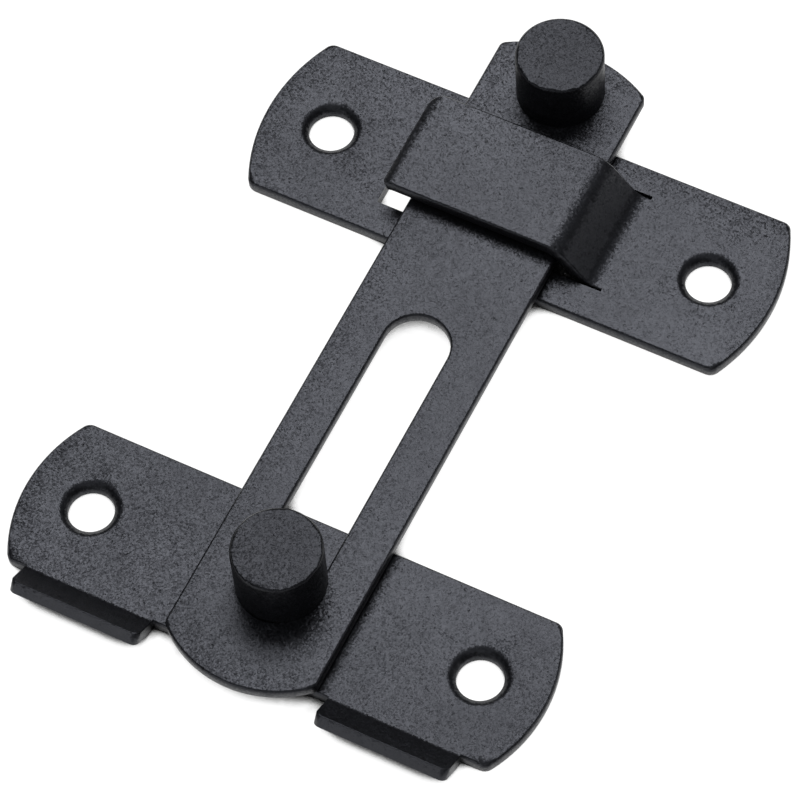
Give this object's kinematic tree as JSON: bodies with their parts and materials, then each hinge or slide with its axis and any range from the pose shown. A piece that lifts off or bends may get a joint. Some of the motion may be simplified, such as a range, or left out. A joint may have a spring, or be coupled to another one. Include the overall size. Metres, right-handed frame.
{
  "type": "barn door latch",
  "caption": "Black sheet-metal barn door latch: a slotted bar with cylindrical knobs turns on a base plate with raised lips and rests under the raised strap of a keeper plate.",
  "frame": {"origin": "pivot axis of the bar at the back face of the base plate, midway between the base plate's screw holes", "axes": "+X along the plates, +Y from the base plate along the closed bar to the keeper, +Z out of the door"},
  "size_m": [0.0818, 0.1119, 0.0144],
  "materials": {
    "black_coat": "fine textured matt powder coat"
  },
  "bodies": {
    "plates": {"base_plate": "black_coat", "keeper_plate": "black_coat", "pivot_knob": "black_coat"},
    "washer": {"pivot_washer": "black_coat"},
    "bar": {"latch_bar": "black_coat", "handle_knob": "black_coat"}
  },
  "joints": [
    {"name": "bar_swing", "type": "hinge", "parent": "plates", "child": "washer", "pos_m": [0, 0, 0.003], "axis": [0, 0, 1], "range_deg": [0, 90]},
    {"name": "bar_slide", "type": "slide", "parent": "washer", "child": "bar", "axis": [0, 1, 0], "range_m": [-0.0015, 0.0015]}
  ]
}
